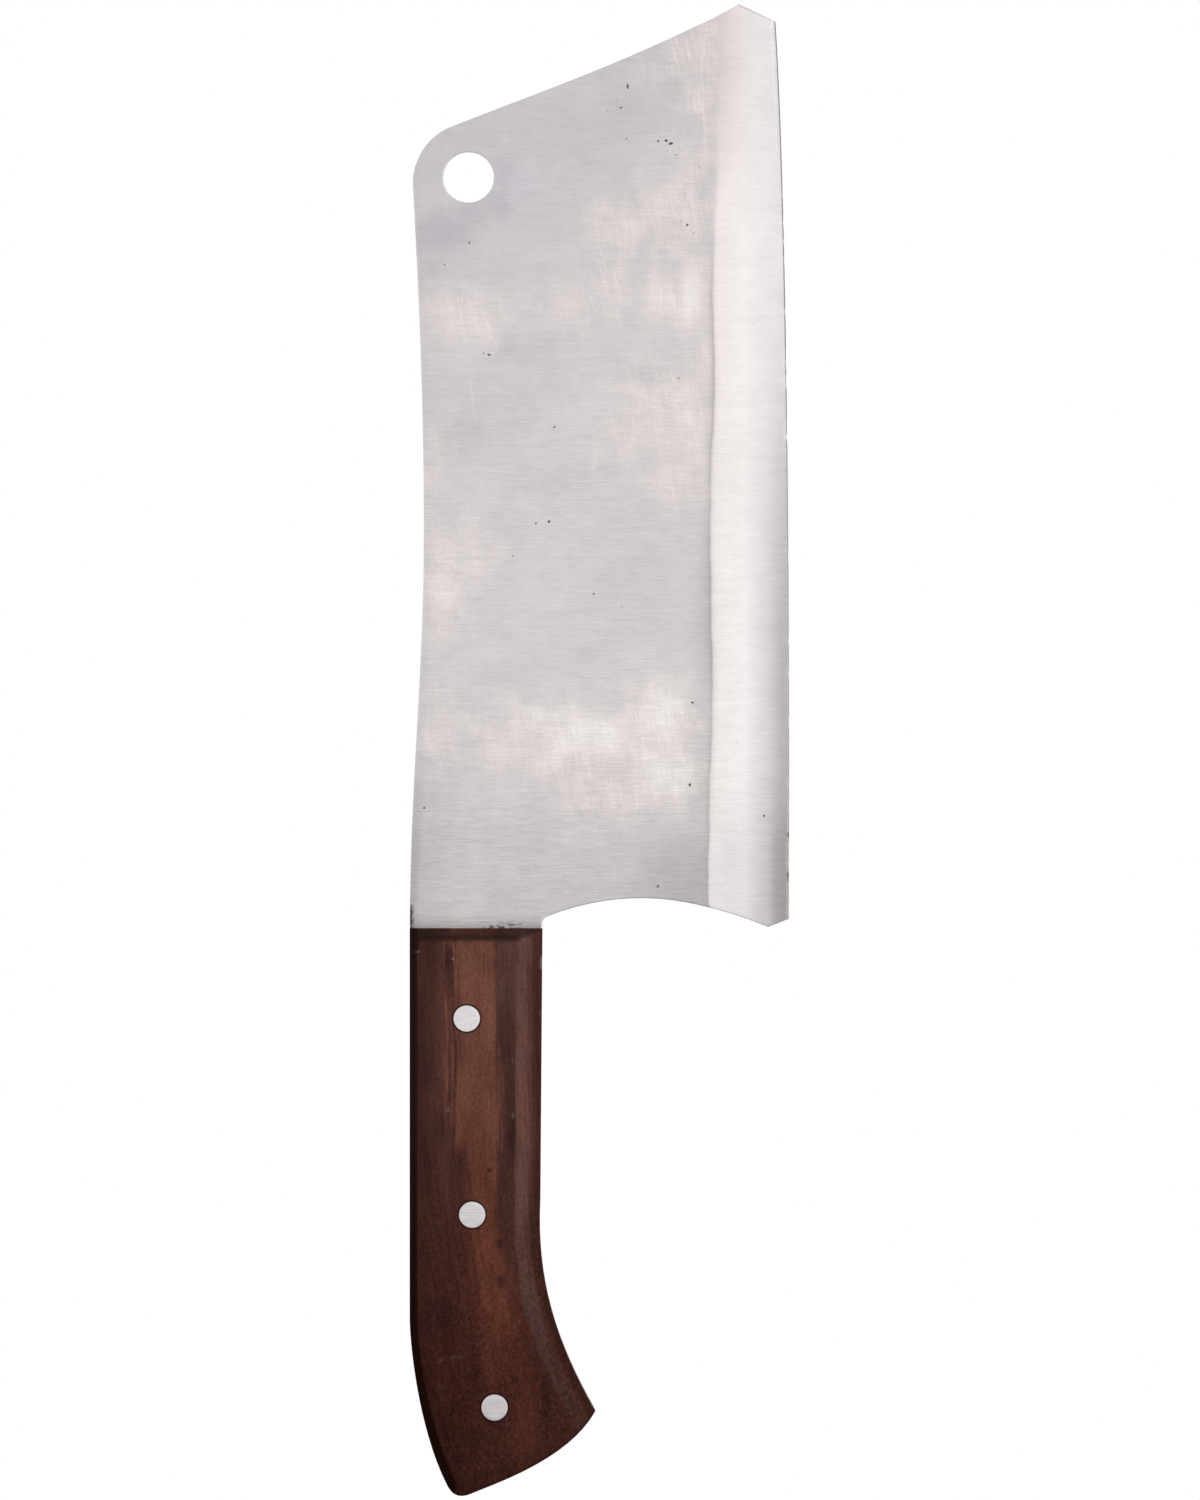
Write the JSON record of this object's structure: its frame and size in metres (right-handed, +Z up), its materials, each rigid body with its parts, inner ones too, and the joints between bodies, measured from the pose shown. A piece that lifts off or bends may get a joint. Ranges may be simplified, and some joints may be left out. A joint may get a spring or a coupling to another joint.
{
  "type": "cleaver",
  "caption": "Butcher's cleaver: broad steel blade with a convex-ground edge, hanging hole, slanted top and scalloped heel, on a full-tang wooden handle with flush rivets.",
  "frame": {"origin": "middle of the hanging hole, on the middle plane of the blade", "axes": "+Z up from the butt of the handle to the tip, as the cleaver hangs; +X across the blade from the spine to the cutting edge; +Y through it from the front face in the picture to the back face"},
  "size_m": [0.0899, 0.0222, 0.3532],
  "materials": {
    "blade_steel": "crosswise brushed carbon steel with rubbed patches, scratches and small pits",
    "handle_wood": "oiled dark red-brown hardwood with lengthwise grain and handling wear",
    "rivet_metal": "bright, ground flush with the wood"
  },
  "bodies": {
    "root": {"blade": "blade_steel", "front_scale": "handle_wood", "back_scale": "handle_wood", "top_rivet_stud": "rivet_metal", "top_rivet_sleeve": "rivet_metal", "middle_rivet_stud": "rivet_metal", "middle_rivet_sleeve": "rivet_metal", "bottom_rivet_stud": "rivet_metal", "bottom_rivet_sleeve": "rivet_metal"}
  },
  "joints": []
}
